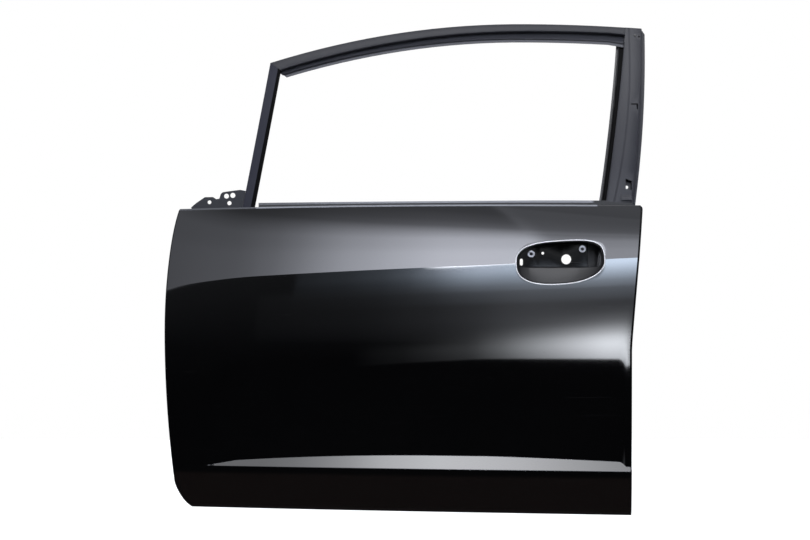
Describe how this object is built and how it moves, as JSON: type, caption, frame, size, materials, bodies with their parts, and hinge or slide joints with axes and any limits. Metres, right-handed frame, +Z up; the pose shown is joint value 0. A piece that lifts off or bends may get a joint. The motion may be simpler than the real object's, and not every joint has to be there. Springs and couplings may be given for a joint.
{
  "type": "car door shell",
  "caption": "Bare left front car door shell: pressed skin hemmed to a pressed inner panel, welded window frame, handle pocket, hinge and latch reinforcements.",
  "frame": {"origin": "centre of the upper hinge's mounting face on the front wall", "axes": "+X towards the door's rear edge, +Y into the car, +Z up"},
  "size_m": [1.1315, 0.2205, 1.1556],
  "materials": {
    "satin_black_primer": "satin",
    "grey_mastic": "matte"
  },
  "bodies": {
    "root": {"outer_panel": "satin_black_primer", "inner_panel": "satin_black_primer", "front_sash": "satin_black_primer", "header_sash": "satin_black_primer", "rear_sash": "satin_black_primer", "b_pillar_plate": "satin_black_primer", "b_pillar_inner": "satin_black_primer", "b_pillar_foot_bracket": "satin_black_primer", "front_run_channel": "satin_black_primer", "rear_run_channel": "satin_black_primer", "front_channel_strap": "satin_black_primer", "rear_channel_strap": "satin_black_primer", "outer_belt_reinforcement": "satin_black_primer", "inner_belt_reinforcement": "satin_black_primer", "mirror_bracket": "satin_black_primer", "upper_hinge_reinforcement": "satin_black_primer", "upper_hinge_nut_1": "satin_black_primer", "upper_hinge_nut_2": "satin_black_primer", "lower_hinge_reinforcement": "satin_black_primer", "lower_hinge_nut_1": "satin_black_primer", "lower_hinge_nut_2": "satin_black_primer", "check_reinforcement": "satin_black_primer", "latch_reinforcement": "satin_black_primer", "impact_beam": "satin_black_primer", "beam_front_bracket": "satin_black_primer", "beam_rear_bracket": "satin_black_primer", "skin_pad_1": "grey_mastic", "skin_pad_2": "grey_mastic", "skin_pad_3": "grey_mastic", "handle_reinforcement": "satin_black_primer", "handle_collar_front": "satin_black_primer", "handle_collar_rear": "satin_black_primer", "pull_bracket": "satin_black_primer"}
  },
  "joints": []
}
